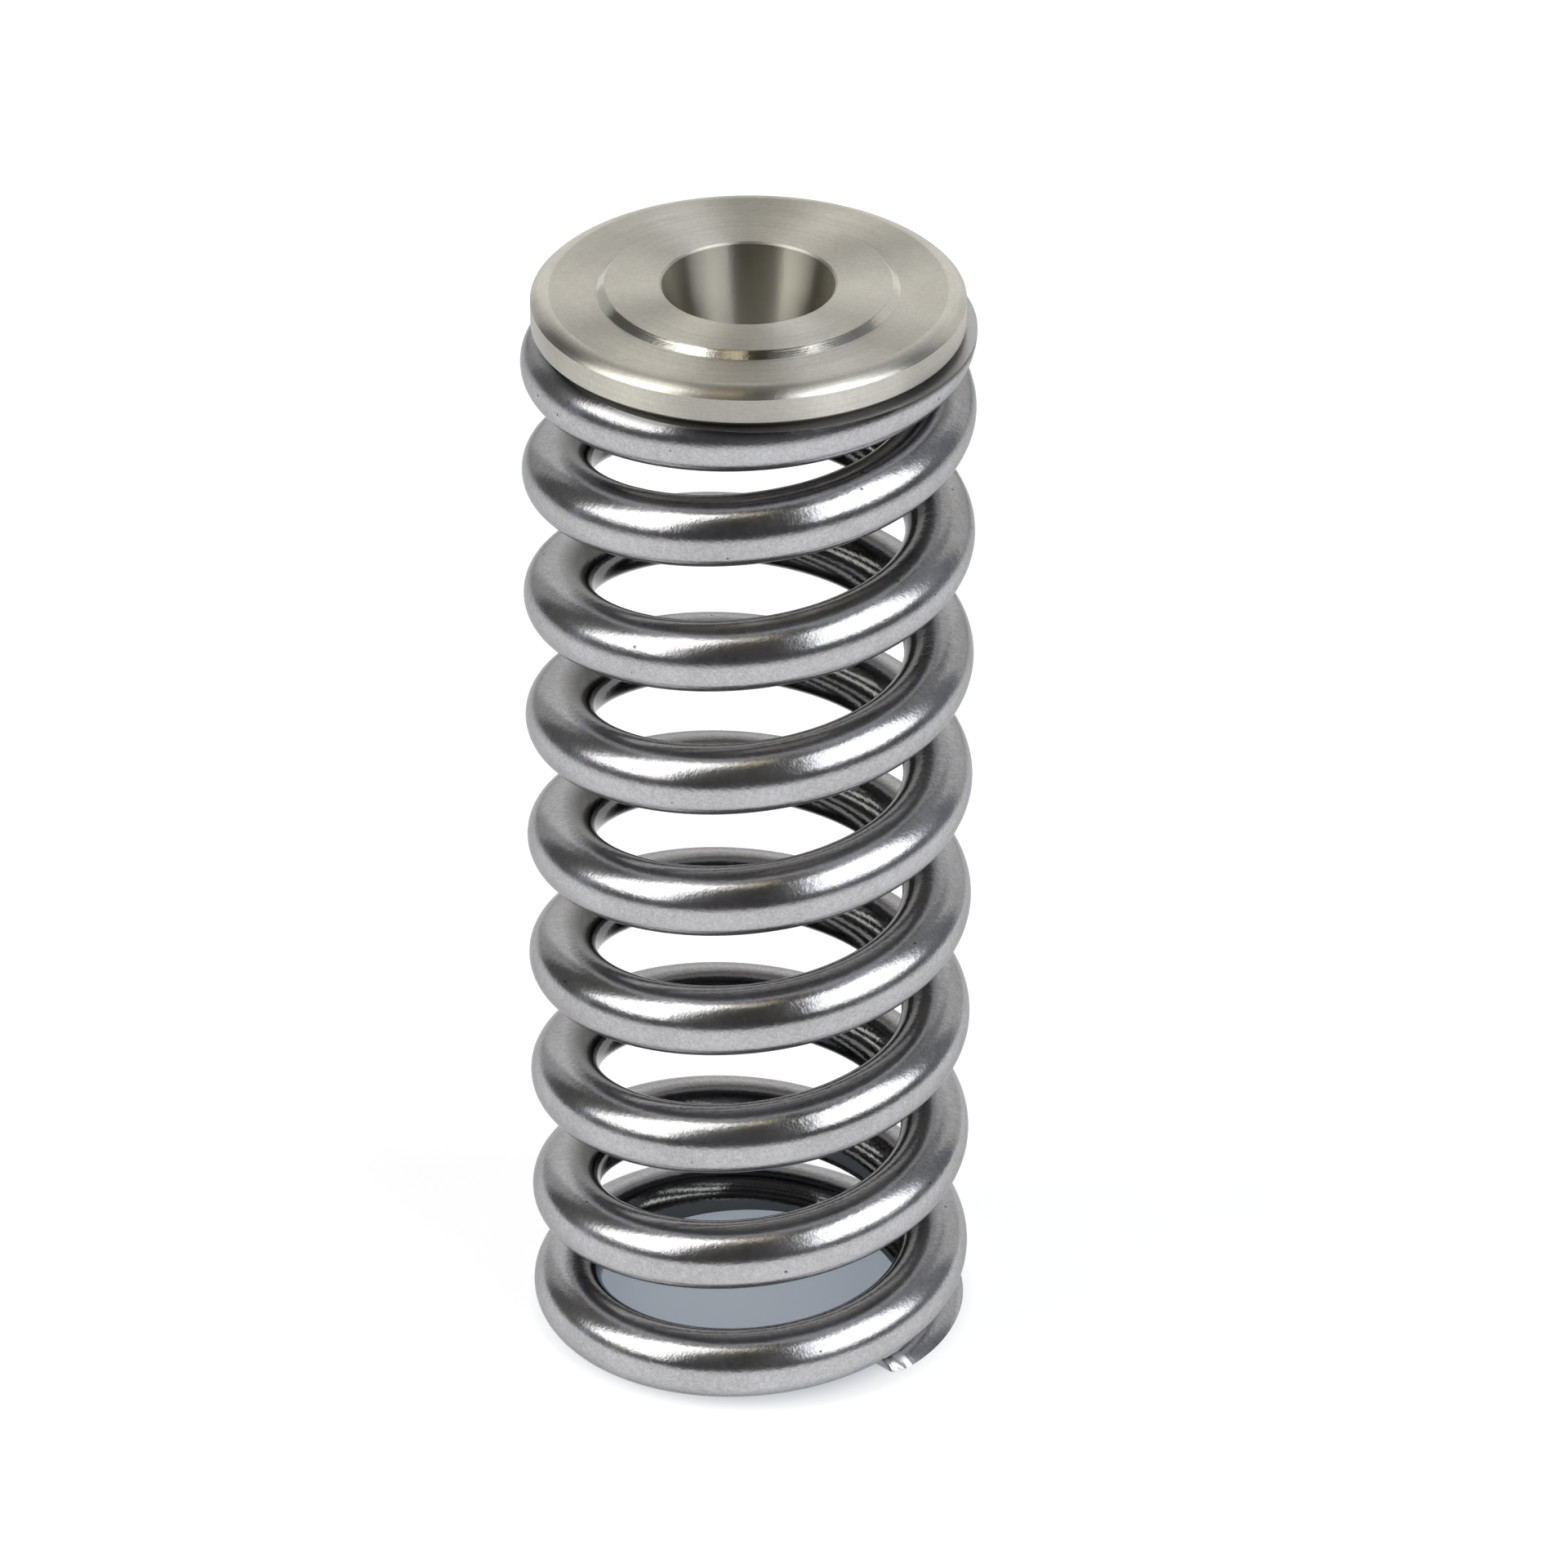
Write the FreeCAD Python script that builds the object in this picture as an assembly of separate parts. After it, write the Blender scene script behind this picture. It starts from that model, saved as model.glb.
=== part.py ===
import FreeCAD, Part
import math
import os

# Engine valve spring with its retainer seated on it, in millimetres.
# The origin is the centre of the spring's ground bottom end, and +Z runs up the spring's axis.

# Spring: round wire, wound right-handed, with both ends closed and ground flat.
COIL_OUTER_DIAMETER = 27.0
WIRE_DIAMETER = 4.2
FREE_LENGTH = 68.2
TOTAL_TURNS = 9.48
TIP_THICKNESS = 0.65        # what grinding leaves of the wire at each tip
TIP_BEARING = 314.5         # degrees from +X to the bottom tip
CLOSED_GAP = 0.06           # between a tip and the turn that it lies on
BOTTOM_CLOSED_TURNS = 0.73  # turns before the bottom end starts to open
TOP_CLOSED_TURNS = 0.91
OPENING_TURNS = 0.45        # turns over which an end opens to the full pitch

# Retainer: a turned disc with a raised boss, a taper for the split keepers and a hub below.
RETAINER_HEIGHT = 8.0
RIM_DIAMETER = 25.7
RIM_HEIGHT = 1.95          # from the spring's end to the shoulder
RIM_BEVEL = 0.45           # at the rim's lower edge, which leaves a gap above the wire
SHOULDER_WIDTH = 1.1       # the rounded fall from the flange's face to the rim
SHOULDER_DROP = 0.5
BOSS_DIAMETER = 17.0
BOSS_HEIGHT = 0.43
BOSS_STEP_WIDTH = 0.44     # the sloping step from the boss down to the flange's face
TAPER_MOUTH_DIAMETER = 10.3
TAPER_HALF_ANGLE = 10.0    # degrees
MOUTH_EDGE_BREAK = 0.12
PILOT_CLEARANCE = 0.2      # at the radius, between the pilot and the inside of the spring
PILOT_DEPTH = 2.0
PILOT_LEAD_IN = 0.5
HUB_WALL = 2.1             # round the small end of the taper
HUB_FLARE = 0.25           # share of the way from the hub's end out to the pilot that the hub widens
HUB_FILLET = 0.8
HUB_EDGE_BREAK = 0.3

WIRE_RADIUS = WIRE_DIAMETER / 2
COIL_OUTER_RADIUS = COIL_OUTER_DIAMETER / 2
COIL_MEAN_RADIUS = COIL_OUTER_RADIUS - WIRE_RADIUS
COIL_INNER_RADIUS = COIL_OUTER_RADIUS - WIRE_DIAMETER
ORIGIN = FreeCAD.Vector(0, 0, 0)
UP = FreeCAD.Vector(0, 0, 1)


def part_way(start, end, turns):
    """The point of an unrolled straight run that lies so many turns after its start."""
    share = turns / (end[0] - start[0])
    return start[0] + turns, start[1] + share * (end[1] - start[1])


def centreline():
    """The wire's centreline, drawn unrolled as (turn, height) and wrapped round a cylinder.

    Unrolled it is three straight runs: a closed end, the open turns and the other closed end.
    A parabola rounds each corner, so that the pitch there grows evenly from closed to open.
    """
    closed_pitch = WIRE_DIAMETER + CLOSED_GAP
    tip_height = TIP_THICKNESS - WIRE_RADIUS
    half_opening = OPENING_TURNS / 2
    bottom_closed = BOTTOM_CLOSED_TURNS + half_opening
    top_closed = TOP_CLOSED_TURNS + half_opening

    bottom_tip = (0, tip_height)
    top_tip = (TOTAL_TURNS, FREE_LENGTH - tip_height)
    bottom_corner = (bottom_closed, bottom_tip[1] + closed_pitch * bottom_closed)
    top_corner = (TOTAL_TURNS - top_closed, top_tip[1] - closed_pitch * top_closed)
    open_turns = top_corner[0] - bottom_corner[0]

    opening_starts = part_way(bottom_tip, bottom_corner, BOTTOM_CLOSED_TURNS)
    opening_ends = part_way(bottom_corner, top_corner, half_opening)
    closing_starts = part_way(bottom_corner, top_corner, open_turns - half_opening)
    closing_ends = part_way(top_corner, top_tip, half_opening)

    def unrolled(point):
        angle = math.radians(TIP_BEARING) + 2 * math.pi * point[0]
        return FreeCAD.Base.Vector2d(angle, point[1])

    def run(start, end):
        return Part.Geom2d.Line2dSegment(unrolled(start), unrolled(end))

    def bend(*points):
        parabola = Part.Geom2d.BezierCurve2d()
        parabola.increase(2)
        for number, point in enumerate(points, start=1):
            parabola.setPole(number, unrolled(point))
        return parabola

    drawn = (
        run(bottom_tip, opening_starts),
        bend(opening_starts, bottom_corner, opening_ends),
        run(opening_ends, closing_starts),
        bend(closing_starts, top_corner, closing_ends),
        run(closing_ends, top_tip),
    )
    mandrel = Part.Cylinder()
    mandrel.Radius = COIL_MEAN_RADIUS
    return Part.Wire([curve.toShape(mandrel) for curve in drawn])


def make_coil_spring():
    """Round wire swept along the centreline, then ground flat square to the axis at both ends."""
    path = centreline()
    first = path.OrderedEdges[0]
    start = first.valueAt(first.FirstParameter)
    heading = first.tangentAt(first.FirstParameter)
    sweep = Part.BRepOffsetAPI.MakePipeShell(path)
    sweep.setBiNormalMode(UP)
    sweep.add(Part.Wire(Part.makeCircle(WIRE_RADIUS, start, heading)))
    sweep.build()
    sweep.makeSolid()
    between_grinding_faces = Part.makeCylinder(COIL_OUTER_DIAMETER, FREE_LENGTH)
    return sweep.shape().common(between_grinding_faces).Solids[0]


def section_point(radius, height):
    return FreeCAD.Vector(radius, 0, height)


def straight(*corners):
    """Lines of the turned section through corners given as (radius, height)."""
    points = [section_point(*corner) for corner in corners]
    return [Part.makeLine(a, b) for a, b in zip(points, points[1:])]


def tangent_arc(level_end, steep_end):
    """An arc of the turned section that starts level at one end and passes through the other."""
    width = steep_end[0] - level_end[0]
    rise = steep_end[1] - level_end[1]
    arc_radius = (width ** 2 + rise ** 2) / (2 * abs(rise))
    half_sweep = math.asin(abs(width) / arc_radius) / 2
    middle = (
        level_end[0] + math.copysign(arc_radius * math.sin(half_sweep), width),
        level_end[1] + math.copysign(arc_radius * (1 - math.cos(half_sweep)), rise),
    )
    through = [section_point(*point) for point in (level_end, middle, steep_end)]
    return Part.Arc(*through).toShape()


def make_spring_retainer():
    """The retainer turned about the axis, with its flange seated on the spring's top end."""
    rim_radius = RIM_DIAMETER / 2
    boss_radius = BOSS_DIAMETER / 2
    pilot_radius = COIL_INNER_RADIUS - PILOT_CLEARANCE
    mouth_radius = TAPER_MOUTH_DIAMETER / 2

    seat = FREE_LENGTH
    rim_top = seat + RIM_HEIGHT
    flange_top = rim_top + SHOULDER_DROP
    boss_top = flange_top + BOSS_HEIGHT
    pilot_bottom = seat - PILOT_DEPTH
    hub_bottom = boss_top - RETAINER_HEIGHT

    taper_slope = math.tan(math.radians(TAPER_HALF_ANGLE))
    taper_end_radius = mouth_radius - taper_slope * RETAINER_HEIGHT
    hub_end_radius = taper_end_radius + HUB_WALL
    pilot_underside_radius = pilot_radius - PILOT_LEAD_IN
    flare = HUB_FLARE * (pilot_underside_radius - hub_end_radius)
    hub_root_radius = hub_end_radius + flare
    hub_slope = flare / (pilot_bottom - hub_bottom)
    hub_fillet = min(HUB_FILLET, (pilot_underside_radius - hub_root_radius) / 2)

    shoulder_start = (rim_radius - SHOULDER_WIDTH, flange_top)
    shoulder_end = (rim_radius, rim_top)
    boss_foot = (boss_radius + BOSS_STEP_WIDTH, flange_top)
    boss_edge = (boss_radius, boss_top)
    mouth_edge = (mouth_radius + MOUTH_EDGE_BREAK, boss_top)
    hub_end = (taper_end_radius, hub_bottom)

    section = [
        *straight(
            hub_end,
            (hub_end_radius - HUB_EDGE_BREAK, hub_bottom),
            (hub_end_radius + hub_slope * HUB_EDGE_BREAK, hub_bottom + HUB_EDGE_BREAK),
            (hub_root_radius, pilot_bottom),
            (pilot_underside_radius, pilot_bottom),
            (pilot_radius, pilot_bottom + PILOT_LEAD_IN),
            (pilot_radius, seat),
            (rim_radius - RIM_BEVEL, seat),
            (rim_radius, seat + RIM_BEVEL),
            shoulder_end,
        ),
        tangent_arc(shoulder_start, shoulder_end),
        *straight(
            shoulder_start,
            boss_foot,
            boss_edge,
            mouth_edge,
            (mouth_radius - taper_slope * MOUTH_EDGE_BREAK, boss_top - MOUTH_EDGE_BREAK),
            hub_end,
        ),
    ]
    outline = Part.Wire(Part.__sortEdges__(section))
    turned = Part.Face(outline).revolve(ORIGIN, UP, 360)
    hub_root = [
        edge for edge in turned.Edges
        if isinstance(edge.Curve, Part.Circle)
        and math.isclose(edge.Curve.Radius, hub_root_radius, abs_tol=1e-6)
    ]
    return turned.makeFillet(hub_fillet, hub_root)


PIECES = {
    "coil_spring": make_coil_spring,
    "spring_retainer": make_spring_retainer,
}

os.makedirs("parts", exist_ok=True)
for name, make in PIECES.items():
    make().exportStep(f"parts/{name}.step")
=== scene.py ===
import math
import random

import bmesh
import bpy
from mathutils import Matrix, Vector


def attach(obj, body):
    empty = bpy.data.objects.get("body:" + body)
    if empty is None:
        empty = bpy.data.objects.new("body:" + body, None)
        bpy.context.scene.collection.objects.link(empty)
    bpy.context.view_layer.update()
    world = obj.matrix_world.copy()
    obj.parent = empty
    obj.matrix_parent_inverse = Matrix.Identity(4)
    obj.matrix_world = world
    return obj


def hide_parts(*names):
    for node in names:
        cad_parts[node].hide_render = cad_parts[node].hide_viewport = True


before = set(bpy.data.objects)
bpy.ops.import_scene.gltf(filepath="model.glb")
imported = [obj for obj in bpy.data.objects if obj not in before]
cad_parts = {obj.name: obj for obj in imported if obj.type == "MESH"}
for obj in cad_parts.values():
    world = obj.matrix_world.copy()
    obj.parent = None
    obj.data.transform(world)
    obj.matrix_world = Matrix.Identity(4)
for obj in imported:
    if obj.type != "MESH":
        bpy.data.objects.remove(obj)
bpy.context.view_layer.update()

MM = 0.001

# The spring's driving sizes.
COIL_OUTER_RADIUS = 13.5 * MM
WIRE_RADIUS = 2.1 * MM
FREE_LENGTH = 68.2 * MM
TOTAL_TURNS = 9.48
TIP_THICKNESS = 0.65 * MM
TIP_BEARING = math.radians(314.5)
CLOSED_PITCH = 4.26 * MM
BOTTOM_CLOSED_TURNS = 0.73
TOP_CLOSED_TURNS = 0.91
OPENING_TURNS = 0.45
COIL_MEAN_RADIUS = COIL_OUTER_RADIUS - WIRE_RADIUS

# The thin bottom tip, which grinding leaves torn.
TORN_TURNS = 0.018
TORN_RINGS = 12
TORN_DEPTH = 0.35 * MM
TORN_SEED = 4

# The retainer's driving sizes.
RETAINER_HEIGHT = 8.0 * MM
RIM_RADIUS = 12.85 * MM
RIM_HEIGHT = 1.95 * MM
RIM_BEVEL = 0.45 * MM
SHOULDER_WIDTH = 1.1 * MM
SHOULDER_DROP = 0.5 * MM
BOSS_RADIUS = 8.5 * MM
BOSS_HEIGHT = 0.43 * MM
BOSS_STEP_WIDTH = 0.44 * MM
TAPER_MOUTH_RADIUS = 5.15 * MM
TAPER_SLOPE = math.tan(math.radians(10))
PILOT_RADIUS = 9.1 * MM
PILOT_DEPTH = 2.0 * MM
PILOT_LEAD_IN = 0.5 * MM
HUB_WALL = 2.1 * MM
HUB_FLARE = 0.25
HUB_FILLET = 0.8 * MM
HUB_EDGE_BREAK = 0.3 * MM
EDGE_BREAK = 0.12 * MM
FINE_EDGE = 0.04 * MM

# How finely the meshes are divided, and how their faces meet.
RINGS_PER_TURN = 128
POINTS_PER_RING = 40
TURNED_SEGMENTS = 256
CARD_STEPS = 16
FLOOR_SEGMENTS = 96
SHARP_ANGLE = math.radians(20)
ON_THE_CUT = 1e-8

# The coil's material slots.
WIRE_SLOT = 0
GROUND_SLOT = 1


def opened_turns(turn):
    """How many turns' worth of opening lie below a turn, with an even ramp at each end."""
    def past(start):
        beyond = turn - start
        if beyond <= 0:
            return 0
        if beyond < OPENING_TURNS:
            return beyond ** 2 / (2 * OPENING_TURNS)
        return beyond - OPENING_TURNS / 2
    return past(BOTTOM_CLOSED_TURNS) - past(TOTAL_TURNS - TOP_CLOSED_TURNS - OPENING_TURNS)


def coil_height(turn):
    """The height of the wire's centreline."""
    tip_height = TIP_THICKNESS - WIRE_RADIUS
    rise = FREE_LENGTH - 2 * tip_height
    extra_pitch = (rise - CLOSED_PITCH * TOTAL_TURNS) / opened_turns(TOTAL_TURNS)
    return tip_height + CLOSED_PITCH * turn + extra_pitch * opened_turns(turn)


def wire_ring(turn):
    """The points round the wire at one place along it."""
    angle = TIP_BEARING + 2 * math.pi * turn
    step = 0.001
    climb = (coil_height(turn + step) - coil_height(turn - step)) / (2 * step)
    outward = Vector((math.cos(angle), math.sin(angle), 0))
    slope = climb / (2 * math.pi * COIL_MEAN_RADIUS)
    forward = Vector((-outward.y, outward.x, slope)).normalized()
    across = outward.cross(forward)
    centre = outward * COIL_MEAN_RADIUS + Vector((0, 0, coil_height(turn)))
    around = [2 * math.pi * k / POINTS_PER_RING for k in range(POINTS_PER_RING)]
    return [centre + WIRE_RADIUS * (math.cos(a) * outward + math.sin(a) * across) for a in around]


def torn(points, number):
    """One of the first rings, worn inwards unevenly, and less with each ring."""
    centre = sum(points, Vector()) / len(points)
    wear = TORN_DEPTH * (1 - number / TORN_RINGS)
    return [
        point + (centre - point).normalized() * wear * random.uniform(0, 1)
        for point in points
    ]


def grind(bm, height, outward):
    """Cuts the wire off flat at a height and closes the cut with a sharp-edged face."""
    cut = bmesh.ops.bisect_plane(
        bm,
        geom=bm.verts[:] + bm.edges[:] + bm.faces[:],
        dist=ON_THE_CUT,
        plane_co=(0, 0, height),
        plane_no=(0, 0, outward),
        clear_outer=True,
    )
    rim = [item for item in cut["geom_cut"] if isinstance(item, bmesh.types.BMEdge)]
    ground = bmesh.ops.edgeloop_fill(bm, edges=rim, mat_nr=GROUND_SLOT)["faces"]
    for face in ground:
        for edge in face.edges:
            edge.smooth = False


def object_from(bm, name):
    mesh = bpy.data.meshes.new(name)
    bm.to_mesh(mesh)
    bm.free()
    made = bpy.data.objects.new(name, mesh)
    bpy.context.scene.collection.objects.link(made)
    return made


def coil_spring():
    """The wire ring by ring, more closely spaced at the torn tip, then ground at both ends."""
    bm = bmesh.new()
    random.seed(TORN_SEED)
    sound_turns = TOTAL_TURNS - TORN_TURNS
    count = round(sound_turns * RINGS_PER_TURN)
    turns = [TORN_TURNS * number / TORN_RINGS for number in range(TORN_RINGS)]
    turns += [TORN_TURNS + sound_turns * number / count for number in range(count + 1)]
    rings = []
    for number, turn in enumerate(turns):
        points = wire_ring(turn)
        if number < TORN_RINGS:
            points = torn(points, number)
        rings.append([bm.verts.new(point) for point in points])
    for number, (low, high) in enumerate(zip(rings, rings[1:])):
        for k in range(POINTS_PER_RING):
            after = (k + 1) % POINTS_PER_RING
            face = bm.faces.new((low[k], high[k], high[after], low[after]))
            face.material_index = GROUND_SLOT if number < TORN_RINGS else WIRE_SLOT
    for tip in (bm.faces.new(rings[0]), bm.faces.new(reversed(rings[-1]))):
        for edge in tip.edges:
            edge.smooth = False
    grind(bm, 0, -1)
    grind(bm, FREE_LENGTH, 1)
    bmesh.ops.recalc_face_normals(bm, faces=bm.faces)
    for face in bm.faces:
        face.smooth = True
    return object_from(bm, "valve_spring_coil")


def arc(centre, radius, start, end, steps=10):
    """Points of an arc in the turned section, from one angle to another in degrees."""
    angles = [math.radians(start + (end - start) * k / steps) for k in range(steps + 1)]
    return [(centre[0] + radius * math.cos(a), centre[1] + radius * math.sin(a)) for a in angles]


def level_arc(level_end, steep_end, steps=14):
    """Points of an arc that leaves one end level and passes through the other."""
    width = steep_end[0] - level_end[0]
    rise = steep_end[1] - level_end[1]
    radius = (width ** 2 + rise ** 2) / (2 * abs(rise))
    sweep = math.asin(abs(width) / radius)
    angles = [sweep * k / steps for k in range(steps + 1)]
    return [
        (
            level_end[0] + math.copysign(radius * math.sin(a), width),
            level_end[1] + math.copysign(radius * (1 - math.cos(a)), rise),
        )
        for a in angles
    ]


def retainer_section():
    """The retainer's section as (radius, height), from the taper's small end outwards and round."""
    seat = FREE_LENGTH
    rim_top = seat + RIM_HEIGHT
    flange_top = rim_top + SHOULDER_DROP
    boss_top = flange_top + BOSS_HEIGHT
    pilot_bottom = seat - PILOT_DEPTH
    hub_bottom = boss_top - RETAINER_HEIGHT
    taper_end = TAPER_MOUTH_RADIUS - TAPER_SLOPE * RETAINER_HEIGHT
    hub_end = taper_end + HUB_WALL
    pilot_underside = PILOT_RADIUS - PILOT_LEAD_IN
    hub_root = hub_end + HUB_FLARE * (pilot_underside - hub_end)
    shoulder_start = (RIM_RADIUS - SHOULDER_WIDTH, flange_top)
    shoulder_end = (RIM_RADIUS - FINE_EDGE, rim_top)
    boss_foot = BOSS_RADIUS + BOSS_STEP_WIDTH
    return [
        (taper_end, hub_bottom),
        (hub_end - HUB_EDGE_BREAK, hub_bottom),
        (hub_end, hub_bottom + HUB_EDGE_BREAK),
        *arc((hub_root + HUB_FILLET, pilot_bottom - HUB_FILLET), HUB_FILLET, 180, 90),
        (pilot_underside, pilot_bottom),
        (PILOT_RADIUS, pilot_bottom + PILOT_LEAD_IN),
        (PILOT_RADIUS, seat),
        (RIM_RADIUS - RIM_BEVEL, seat),
        (RIM_RADIUS - FINE_EDGE, seat + RIM_BEVEL - FINE_EDGE),
        (RIM_RADIUS, seat + RIM_BEVEL + FINE_EDGE),
        (RIM_RADIUS, rim_top - FINE_EDGE),
        *reversed(level_arc(shoulder_start, shoulder_end)),
        (boss_foot + FINE_EDGE, flange_top),
        (boss_foot - FINE_EDGE, flange_top + FINE_EDGE),
        (BOSS_RADIUS + FINE_EDGE, boss_top - FINE_EDGE),
        (BOSS_RADIUS - FINE_EDGE, boss_top),
        (TAPER_MOUTH_RADIUS + EDGE_BREAK, boss_top),
        (TAPER_MOUTH_RADIUS - TAPER_SLOPE * EDGE_BREAK, boss_top - EDGE_BREAK),
    ]


def spring_retainer():
    """The section turned about the axis, with its corners kept sharp."""
    bm = bmesh.new()
    angles = [2 * math.pi * k / TURNED_SEGMENTS for k in range(TURNED_SEGMENTS)]
    hoops = [
        [bm.verts.new((radius * math.cos(a), radius * math.sin(a), height)) for a in angles]
        for radius, height in retainer_section()
    ]
    for inner, outer in zip(hoops, hoops[1:] + hoops[:1]):
        for k in range(TURNED_SEGMENTS):
            after = (k + 1) % TURNED_SEGMENTS
            face = bm.faces.new((inner[k], inner[after], outer[after], outer[k]))
            face.smooth = True
    bmesh.ops.recalc_face_normals(bm, faces=bm.faces)
    for edge in bm.edges:
        edge.smooth = edge.calc_face_angle() < SHARP_ANGLE
    return object_from(bm, "turned_retainer")


class Nodes:
    """Short forms for building a node tree."""

    def __init__(self, tree):
        self.tree = tree
        self.tree.nodes.clear()

    def add(self, kind, **settings):
        """A node with its properties and inputs set by name, where _ stands for a space."""
        node = self.tree.nodes.new(kind)
        for name, value in settings.items():
            if hasattr(node, name):
                setattr(node, name, value)
            else:
                node.inputs[name.replace("_", " ")].default_value = value
        return node

    def link(self, source, target):
        self.tree.links.new(source, target)

    def show(self, source):
        """Ends a material's tree with what its surface shows."""
        self.link(source, self.add("ShaderNodeOutputMaterial").inputs["Surface"])

    def math(self, operation, *values):
        """Arithmetic on numbers and sockets."""
        node = self.tree.nodes.new("ShaderNodeMath")
        node.operation = operation
        for socket, value in zip(node.inputs, values):
            if isinstance(value, (int, float)):
                socket.default_value = value
            else:
                self.link(value, socket)
        return node.outputs[0]

    def weighted(self, *terms):
        """The sum of (share, socket) pairs."""
        total, *others = [self.math("MULTIPLY", socket, share) for share, socket in terms]
        for other in others:
            total = self.math("ADD", total, other)
        return total

    def remap(self, value, low, high, to_low, to_high):
        """A value moved from one range to another, and held within it."""
        node = self.tree.nodes.new("ShaderNodeMapRange")
        self.link(value, node.inputs["Value"])
        ranges = {"From Min": low, "From Max": high, "To Min": to_low, "To Max": to_high}
        for name, number in ranges.items():
            node.inputs[name].default_value = number
        return node.outputs["Result"]

    def ramp(self, value, *stops):
        """Colours by value, from (position, colour) pairs."""
        node = self.tree.nodes.new("ShaderNodeValToRGB")
        self.link(value, node.inputs["Fac"])
        for element, (position, colour) in zip(node.color_ramp.elements, stops):
            element.position = position
            element.color = (*colour, 1)
        return node.outputs["Color"]

    def blend(self, share, first, second):
        """A mix of two colours, each a constant or a socket."""
        node = self.tree.nodes.new("ShaderNodeMix")
        node.data_type = "RGBA"
        self.link(share, node.inputs["Factor"])
        first_colour, second_colour, mixed = node.inputs[6], node.inputs[7], node.outputs[2]
        for socket, colour in ((first_colour, first), (second_colour, second)):
            if isinstance(colour, tuple):
                socket.default_value = (*colour, 1)
            else:
                self.link(colour, socket)
        return mixed

    def noise(self, vector, scale, detail):
        """Soft noise from 0 to 1, mostly near 0.5, of so many cells per unit of the vector."""
        node = self.add("ShaderNodeTexNoise", Scale=scale, Detail=detail, Roughness=0.5)
        self.link(vector, node.inputs["Vector"])
        return node.outputs["Fac"]

    def length(self, vector):
        node = self.add("ShaderNodeVectorMath", operation="LENGTH")
        self.link(vector, node.inputs[0])
        return node.outputs["Value"]

    def scaled(self, vector, factors):
        """A vector with each axis multiplied by a factor of its own."""
        node = self.add("ShaderNodeVectorMath", operation="MULTIPLY")
        self.link(vector, node.inputs[0])
        node.inputs[1].default_value = factors
        return node.outputs["Vector"]

    def height_of(self, place):
        split = self.add("ShaderNodeSeparateXYZ")
        self.link(place, split.inputs["Vector"])
        return split.outputs["Z"]


def material(name):
    made = bpy.data.materials.new(name)
    made.use_nodes = True
    return made, Nodes(made.node_tree)


def place_on_object(nodes):
    return nodes.add("ShaderNodeTexCoord").outputs["Object"]


def metal(name, **settings):
    """A metallic material, with its tree and its shader."""
    made, nodes = material(name)
    shader = nodes.add("ShaderNodeBsdfPrincipled", Metallic=1.0, **settings)
    nodes.show(shader.outputs["BSDF"])
    return made, nodes, shader


def raise_bumps(nodes, shader, pattern, depth):
    bump = nodes.add("ShaderNodeBump", Strength=1.0, Distance=depth)
    nodes.link(pattern, bump.inputs["Height"])
    nodes.link(bump.outputs["Normal"], shader.inputs["Normal"])


# Looks. Colours are linear, depths in metres, and a noise is its cells per metre and its detail.
TONE_LOW, TONE_HIGH = 0.38, 0.62    # where most of a mix of noises lies

STEEL_DARK = (0.382, 0.379, 0.381)
STEEL_LIGHT = (0.528, 0.527, 0.550)
STEEL_GRAZING_TINT = (0.6, 0.6, 0.6, 1)
STEEL_STAIN = (170, 3)
STEEL_SPECKLE = (6500, 2)
STEEL_GRAIN = (2400, 2)
STEEL_ROUGHNESS = (0.20, 0.25)
STEEL_BUMP = 0.000007
GRAIN_RELIEF = 1.4                  # how much deeper the grain is than the speckle
PIT_COLOUR = (0.13, 0.125, 0.12)
PIT_CELLS = 900.0
PITTED_FROM = 0.68                  # the cells whose chance is lower have no pit
PIT_SIZE = 0.10                     # the largest, in cells
# Painted shade: the inside of the turns, and the wire's top just under the retainer, are drawn
# darker where little light reaches them.
INSIDE_SHADE_COLOUR = (0.14, 0.14, 0.138)
INSIDE_POLISH = 0.10
INSIDE_SHADE_FULL_WITHIN = 10.3 * MM        # of the spring's axis
INSIDE_SHADE_ENDS_AT = 11.5 * MM
SHADE_UNDER_RETAINER_STARTS = 0.4 * MM           # below the spring's top end, where painted shade under the retainer begins
SHADE_UNDER_RETAINER_FULL = 0.1 * MM

GROUND_COLOUR = (0.56, 0.56, 0.57, 1)
GROUND_ROUGHNESS = 0.35
GROUND_MARKS = (80, 6000, 80)       # cells per metre along each axis
GROUND_BUMP = 0.00002

TITANIUM_DARK = (0.57, 0.55, 0.495)
TITANIUM_LIGHT = (0.71, 0.69, 0.63)
TITANIUM_STAIN = (260, 3)
TITANIUM_RINGS = (7000, 3)
TITANIUM_GRAIN = (4000, 2)
TITANIUM_ROUGHNESS = (0.42, 0.50)
TITANIUM_BUMP = 0.000006
BORE_COLOUR = (0.48, 0.46, 0.40)
BORE_POLISH = 0.10
STEP_POLISH = 0.28
SHOULDER_POLISH = 0.13
# Painted shade: the rim's underside bevel is drawn dark, standing in for the shadow under the rim.
UNDER_RIM_SHADE_COLOUR = (0.14, 0.135, 0.12)
ACROSS_THE_RINGS = 0.25             # of a turn: turned metal spreads its highlights that way
FLAT_ANISOTROPY, BORE_ANISOTROPY = 0.85, 1.0


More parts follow.
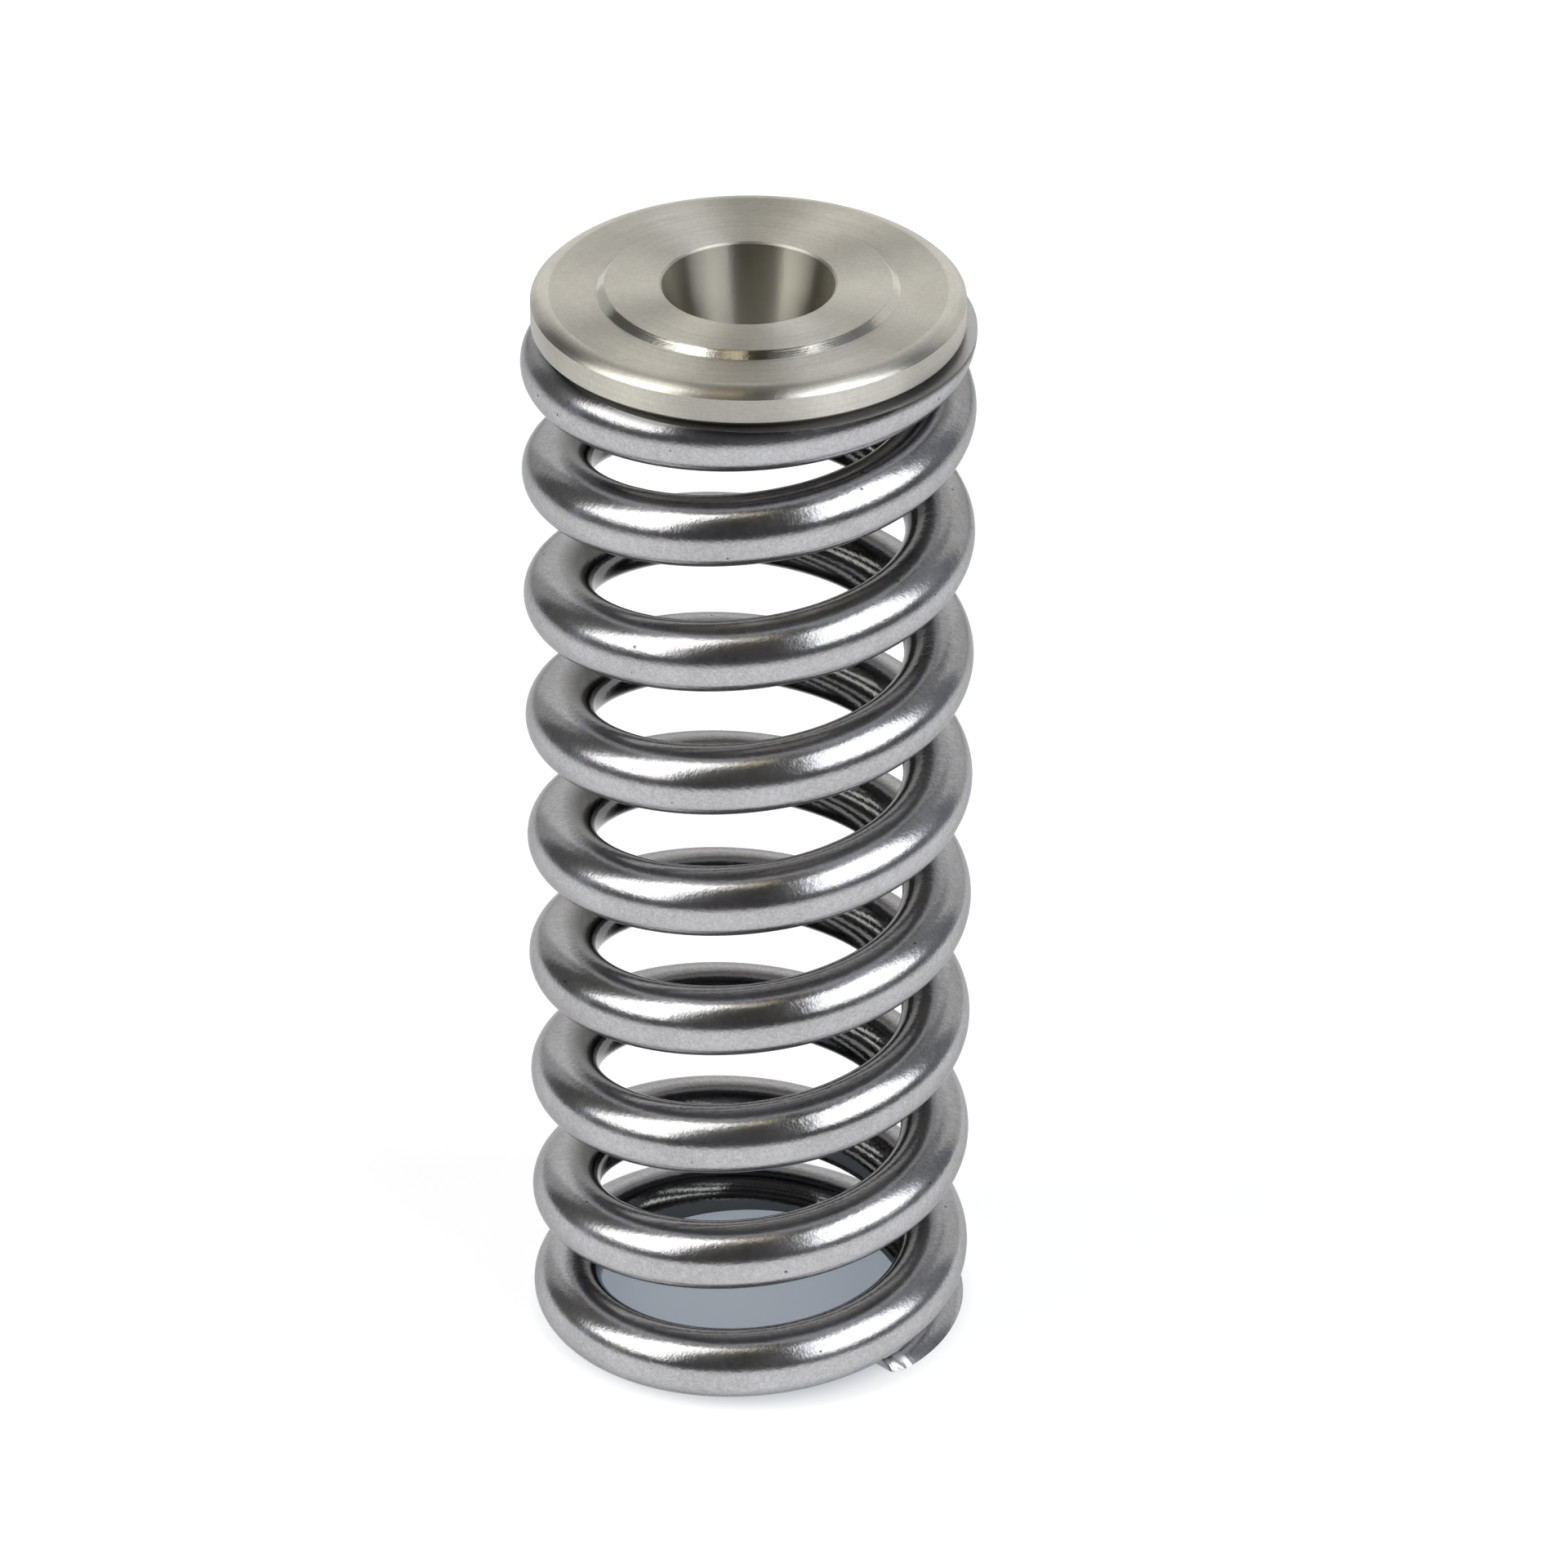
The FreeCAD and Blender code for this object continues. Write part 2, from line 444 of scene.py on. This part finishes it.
def steel_material():
    """Peened wire, polished outside: fine speckle, dark pits, and painted shade inside the turns
    and just under the retainer.
    """
    made, nodes, shader = metal("peened_spring_steel", Specular_Tint=STEEL_GRAZING_TINT)
    place = place_on_object(nodes)
    stain = nodes.noise(place, *STEEL_STAIN)
    speckle = nodes.noise(place, *STEEL_SPECKLE)
    grain = nodes.noise(place, *STEEL_GRAIN)
    tone = nodes.weighted((0.35, stain), (0.4, speckle), (0.25, grain))
    colours = nodes.ramp(tone, (TONE_LOW, STEEL_DARK), (TONE_HIGH, STEEL_LIGHT))

    cells = nodes.add("ShaderNodeTexVoronoi", Scale=PIT_CELLS)
    nodes.link(place, cells.inputs["Vector"])
    chance = nodes.add("ShaderNodeSeparateColor")
    nodes.link(cells.outputs["Color"], chance.inputs["Color"])
    size = nodes.remap(chance.outputs["Red"], PITTED_FROM, 1.0, 0.0, PIT_SIZE)
    pit = nodes.math("LESS_THAN", cells.outputs["Distance"], size)
    pitted = nodes.blend(pit, colours, PIT_COLOUR)

    # Painted shade: darker towards the spring's axis, inside the turns.
    radius = nodes.length(nodes.scaled(place, (1, 1, 0)))
    inside = nodes.remap(radius, INSIDE_SHADE_FULL_WITHIN, INSIDE_SHADE_ENDS_AT, 1, 0)
    # Painted shade on the wire's top, just under the retainer's rim.
    shade_under_retainer = nodes.remap(
        nodes.height_of(place), FREE_LENGTH - SHADE_UNDER_RETAINER_STARTS, FREE_LENGTH - SHADE_UNDER_RETAINER_FULL, 0, 1)
    painted_shade = nodes.math("MAXIMUM", inside, shade_under_retainer)
    nodes.link(nodes.blend(painted_shade, pitted, INSIDE_SHADE_COLOUR), shader.inputs["Base Color"])

    rough = nodes.remap(stain, 0.35, 0.65, *STEEL_ROUGHNESS)
    smoother = nodes.math("MULTIPLY", inside, INSIDE_POLISH)
    nodes.link(nodes.math("SUBTRACT", rough, smoother), shader.inputs["Roughness"])
    peened = nodes.math("ADD", speckle, nodes.math("MULTIPLY", grain, GRAIN_RELIEF))
    raise_bumps(nodes, shader, peened, STEEL_BUMP)
    return made


def ground_material():
    """The spring's ground ends: a brighter face with straight grinding marks."""
    made, nodes, shader = metal(
        "ground_end", Base_Color=GROUND_COLOUR, Roughness=GROUND_ROUGHNESS)
    marks = nodes.noise(nodes.scaled(place_on_object(nodes), GROUND_MARKS), 1, 3)
    raise_bumps(nodes, shader, marks, GROUND_BUMP)
    return made


def titanium_material():
    """Satin titanium with the fine rings that turning leaves."""
    made, nodes, shader = metal("turned_titanium", Anisotropic_Rotation=ACROSS_THE_RINGS)
    place = place_on_object(nodes)
    radius = nodes.length(nodes.scaled(place, (1, 1, 0)))
    height = nodes.height_of(place)
    section = nodes.add("ShaderNodeCombineXYZ")
    nodes.link(radius, section.inputs["X"])
    nodes.link(height, section.inputs["Y"])
    rings = nodes.noise(section.outputs["Vector"], *TITANIUM_RINGS)
    stain = nodes.noise(place, *TITANIUM_STAIN)
    grain = nodes.noise(place, *TITANIUM_GRAIN)
    tone = nodes.weighted((0.4, stain), (0.35, rings), (0.25, grain))
    colours = nodes.ramp(tone, (TONE_LOW, TITANIUM_DARK), (TONE_HIGH, TITANIUM_LIGHT))

    bore = nodes.math("LESS_THAN", radius, TAPER_MOUTH_RADIUS)
    step = nodes.math("COMPARE", radius, BOSS_RADIUS + BOSS_STEP_WIDTH / 2, BOSS_STEP_WIDTH / 2)
    shoulder = nodes.math(
        "COMPARE", radius, RIM_RADIUS - SHOULDER_WIDTH / 2, 0.49 * SHOULDER_WIDTH)
    # Painted shade on the bevel under the rim.
    below_rim = nodes.math("LESS_THAN", height, FREE_LENGTH + 0.9 * RIM_BEVEL)
    at_rim = nodes.math("GREATER_THAN", radius, RIM_RADIUS - RIM_BEVEL)
    under_rim_shade = nodes.math("MULTIPLY", below_rim, at_rim)
    colours = nodes.blend(bore, colours, BORE_COLOUR)
    nodes.link(nodes.blend(under_rim_shade, colours, UNDER_RIM_SHADE_COLOUR), shader.inputs["Base Color"])

    satin = nodes.remap(rings, 0.3, 0.7, *TITANIUM_ROUGHNESS)
    polish = nodes.weighted((BORE_POLISH, bore), (STEP_POLISH, step), (SHOULDER_POLISH, shoulder))
    nodes.link(nodes.math("SUBTRACT", satin, polish), shader.inputs["Roughness"])
    anisotropy = nodes.remap(bore, 0, 1, FLAT_ANISOTROPY, BORE_ANISOTROPY)
    nodes.link(anisotropy, shader.inputs["Anisotropic"])
    round_axis = nodes.add("ShaderNodeTangent", direction_type="RADIAL", axis="Z")
    nodes.link(round_axis.outputs["Tangent"], shader.inputs["Tangent"])
    raise_bumps(nodes, shader, nodes.math("ADD", rings, grain), TITANIUM_BUMP)
    return made


def glow_material(name, colour, strength):
    made, nodes = material(name)
    glow = nodes.add("ShaderNodeEmission", Color=(*colour, 1), Strength=strength)
    nodes.show(glow.outputs["Emission"])
    return made


def seen_ray(nodes):
    """1 for the rays that see the background, also mirrored, and 0 for those that light things."""
    path = nodes.add("ShaderNodeLightPath")
    seen = nodes.math("MAXIMUM", path.outputs["Is Camera Ray"], path.outputs["Is Glossy Ray"])
    return nodes.math("MAXIMUM", seen, path.outputs["Is Transmission Ray"])


# Studio, with radiances in Blender's units, where 1 shows as white.
FLOOR_RADIUS = 0.6
FLOOR_COLOUR = (0.36, 0.36, 0.36, 1)
LIFT_UNDER_OBJECT = (0.21, 0.24, 0.28)
LIFT_OUTSIDE = (0.80, 0.80, 0.80)
LIFT_STARTS_AT = 9.5 * MM           # from the object's axis
LIFT_FULL_AT = 14 * MM
LIFT_FALLS_FROM = 170 * MM          # where metal mirrors the floor
LIFT_ENDS_AT = 560 * MM
WHITE = (1.0, 1.0, 1.0)
FILL_COLOUR = (0.86, 0.93, 1.0)
WORLD_FILL = 0.2
SOFTBOX_RADIANCE = 3.0
CARD_DISTANCE = 1.2
ROOM_DISTANCE = CARD_DISTANCE + 0.2


def floor_material():
    """A pale floor, lifted to white where it is seen, except under the object, in its shadow."""
    made, nodes = material("pale_floor")
    diffuse = nodes.add("ShaderNodeBsdfDiffuse", Color=FLOOR_COLOUR)
    away = nodes.length(place_on_object(nodes))
    outside = nodes.remap(away, LIFT_STARTS_AT, LIFT_FULL_AT, 0, 1)
    lift = nodes.add("ShaderNodeEmission")
    nodes.link(nodes.blend(outside, LIFT_UNDER_OBJECT, LIFT_OUTSIDE), lift.inputs["Color"])
    near = nodes.remap(away, LIFT_FALLS_FROM, LIFT_ENDS_AT, 1, 0)
    mirrored = nodes.math("MULTIPLY", seen_ray(nodes), near)
    direct = nodes.add("ShaderNodeLightPath").outputs["Is Camera Ray"]
    nodes.link(nodes.math("MAXIMUM", mirrored, direct), lift.inputs["Strength"])
    both = nodes.add("ShaderNodeAddShader")
    nodes.link(diffuse.outputs["BSDF"], both.inputs[0])
    nodes.link(lift.outputs["Emission"], both.inputs[1])
    nodes.show(both.outputs["Shader"])
    return made


def studio_floor():
    bm = bmesh.new()
    bmesh.ops.create_circle(bm, cap_ends=True, segments=FLOOR_SEGMENTS, radius=FLOOR_RADIUS)
    made = object_from(bm, "studio_floor")
    made.data.materials.append(floor_material())
    return made


def bearing(azimuth, elevation):
    """A direction from the object: azimuth 0 is towards the viewer, and positive to the right."""
    turn, lift = math.radians(azimuth), math.radians(elevation)
    level = math.cos(lift)
    return Vector((math.sin(turn) * level, -math.cos(turn) * level, math.sin(lift)))


def card(name, azimuths, elevations, distance, colour, strength=1.0):
    """A bowed card that faces the object and spans azimuths and elevations in degrees."""
    def spread(span):
        return [span[0] + (span[1] - span[0]) * k / CARD_STEPS for k in range(CARD_STEPS + 1)]

    bm = bmesh.new()
    middle = Vector((0, 0, FREE_LENGTH / 2))
    grid = [
        [
            bm.verts.new(middle + distance * bearing(azimuth, elevation))
            for azimuth in spread(azimuths)
        ]
        for elevation in spread(elevations)
    ]
    for low, high in zip(grid, grid[1:]):
        for k in range(CARD_STEPS):
            bm.faces.new((low[k], low[k + 1], high[k + 1], high[k]))
    made = object_from(bm, name)
    made.data.materials.append(glow_material(name, colour, strength))
    made.visible_camera = False
    return made


def only_mirrored(made):
    """Lets a studio card show in polished metal and nowhere else."""
    made.visible_diffuse = False
    made.visible_transmission = False
    made.visible_shadow = False
    return made


def studio_cards():
    """Two softboxes, and the room as metal mirrors it: pale behind, and dark elsewhere."""
    room = (
        ("middle_back_low", (150, 208), (-5, 33), (0.92, 0.91, 0.89)),
        ("middle_back_high", (150, 208), (33, 48), (0.66, 0.65, 0.63)),
        ("middle_back_top", (150, 208), (48, 66), (0.28, 0.27, 0.25)),
        ("right_back_low", (120, 150), (-5, 38), (0.70, 0.69, 0.68)),
        ("right_back_high", (120, 150), (38, 66), (0.28, 0.28, 0.28)),
        ("left_back_low", (208, 226), (-5, 31), (0.52, 0.52, 0.52)),
        ("left_back_high", (208, 226), (31, 66), (0.14, 0.13, 0.115)),
        ("left_flag", (226, 264), (-5, 66), (0.11, 0.11, 0.105)),
        ("left_edge", (264, 268), (-5, 66), (0.60, 0.65, 0.78)),
        ("right_flag", (88, 120), (-5, 66), (0.19, 0.20, 0.215)),
        ("front_flag_low", (-92, 88), (-5, 35), (0.068, 0.067, 0.067)),
        ("front_flag_high", (-92, 88), (35, 66), (0.060, 0.057, 0.045)),
        ("overhead_flag", (-180, 180), (66, 89.9), (0.045, 0.043, 0.035)),
    )
    softboxes = (
        ("right_softbox", (27, 88), (18, 66), (0.95, 0.975, 1.0)),
        ("left_softbox", (-96, -48), (17, 73), (1.0, 0.99, 0.96)),
    )
    return [
        *(only_mirrored(card(name, *span, ROOM_DISTANCE, colour)) for name, *span, colour in room),
        only_mirrored(card("warm_card", (-54, -9), (67, 89.5), CARD_DISTANCE, (1.0, 0.9, 0.66))),
        *(
            card(name, *span, CARD_DISTANCE, colour, SOFTBOX_RADIANCE)
            for name, *span, colour in softboxes
        ),
    ]


def world_light():
    """A white surround where it is seen, and a weaker, cooler fill where it lights things."""
    world = bpy.data.worlds.new("studio")
    bpy.context.scene.world = world
    world.use_nodes = True
    nodes = Nodes(world.node_tree)
    seen = seen_ray(nodes)
    surround = nodes.add("ShaderNodeBackground")
    nodes.link(nodes.blend(seen, FILL_COLOUR, WHITE), surround.inputs["Color"])
    nodes.link(nodes.remap(seen, 0, 1, WORLD_FILL, 1), surround.inputs["Strength"])
    output = nodes.add("ShaderNodeOutputWorld")
    nodes.link(surround.outputs["Background"], output.inputs["Surface"])


# The photograph's view: a long lens, a little above the object.
CAMERA_AIM = Vector((2.09, 0, 36.85)) * MM
CAMERA_DISTANCE = 579.2 * MM
CAMERA_ELEVATION = 30.58
FOCAL_LENGTH = 219.5                # for a sensor of SENSOR_WIDTH, both in millimetres
SENSOR_WIDTH = 36


def camera():
    lens = bpy.data.cameras.new("camera")
    lens.lens = FOCAL_LENGTH
    lens.sensor_width = SENSOR_WIDTH
    lens.clip_start = 10 * MM
    made = bpy.data.objects.new("camera", lens)
    bpy.context.scene.collection.objects.link(made)
    back = bearing(0, CAMERA_ELEVATION)
    made.location = CAMERA_AIM + CAMERA_DISTANCE * back
    made.rotation_euler = back.to_track_quat("Z", "Y").to_euler()
    bpy.context.scene.camera = made


wire = coil_spring()
wire.data.materials.append(steel_material())
wire.data.materials.append(ground_material())
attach(wire, "root")
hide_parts("coil_spring")

turned = spring_retainer()
turned.data.materials.append(titanium_material())
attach(turned, "root")
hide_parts("spring_retainer")

studio_floor()
studio_cards()
world_light()
camera()
bpy.context.scene.view_settings.view_transform = "Standard"
